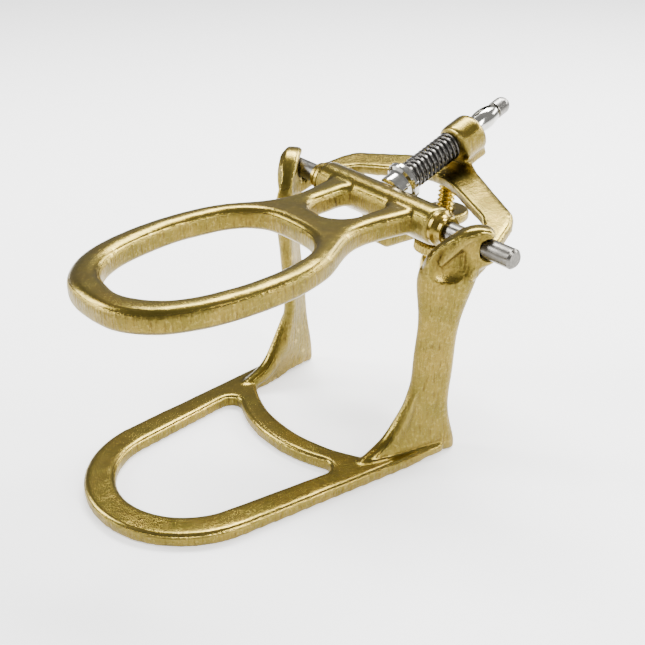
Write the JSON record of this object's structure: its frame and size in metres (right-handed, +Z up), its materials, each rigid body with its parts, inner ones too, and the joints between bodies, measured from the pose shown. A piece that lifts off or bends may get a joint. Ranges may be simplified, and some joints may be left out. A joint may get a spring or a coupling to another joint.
{
  "type": "dental articulator",
  "caption": "Brass articulator with an oval upper bow hinged over a flat lower bow, a spring-loaded hinge axle and a threaded stop screw that sets the bite height.",
  "frame": {"origin": "middle of the lower crossbar, on the flat underside that rests on the bench", "axes": "+Y runs from the bow end to the hinge, +Z up, +X to the side where the axle sticks out further"},
  "size_m": [0.0854, 0.1344, 0.079],
  "materials": {
    "cast_brass": "cast and hand filed, satin",
    "turned_brass": "turned, soft polish",
    "screw_brass": "bright drawn brass",
    "axle_steel": "ground",
    "spring_steel": "dark drawn wire",
    "nickel": "bright nickel plate"
  },
  "bodies": {
    "lower": {"lower_frame": "cast_brass", "plunger_boss": "turned_brass", "plunger_spring": "spring_steel"},
    "plunger": {"plunger_head": "nickel", "plunger_pin": "nickel", "leaf_cage": "nickel"},
    "axle": {"hinge_axle": "axle_steel"},
    "upper": {"upper_frame": "cast_brass", "left_bush": "turned_brass", "right_bush": "turned_brass"},
    "screw": {"stop_screw": "screw_brass"},
    "nut": {"lock_nut": "screw_brass"}
  },
  "joints": [
    {"name": "hinge_float", "type": "slide", "parent": "lower", "child": "plunger", "axis": [0, 0.9367, 0.3502], "range_m": [0, 0.003], "stiffness_N_per_m": 2500, "springref_m": -0.004, "deforming": ["plunger_spring"]},
    {"name": "side_shift", "type": "slide", "parent": "plunger", "child": "axle", "axis": [1, 0, 0], "range_m": [-0.0015, 0.0015]},
    {"name": "jaw_hinge", "type": "hinge", "parent": "axle", "child": "upper", "pos_m": [0, 0.035, 0.0594], "axis": [-1, 0, 0], "range_deg": [0, 98]},
    {"name": "bite_height", "type": "slide", "parent": "upper", "child": "screw", "axis": [0, 0.1045, 0.9945], "range_m": [-0.004, 0]},
    {"name": "nut_turn", "type": "hinge", "parent": "upper", "child": "nut", "pos_m": [0, 0.0596, 0.0594], "axis": [0, 0.1045, 0.9945], "continuous": true}
  ]
}
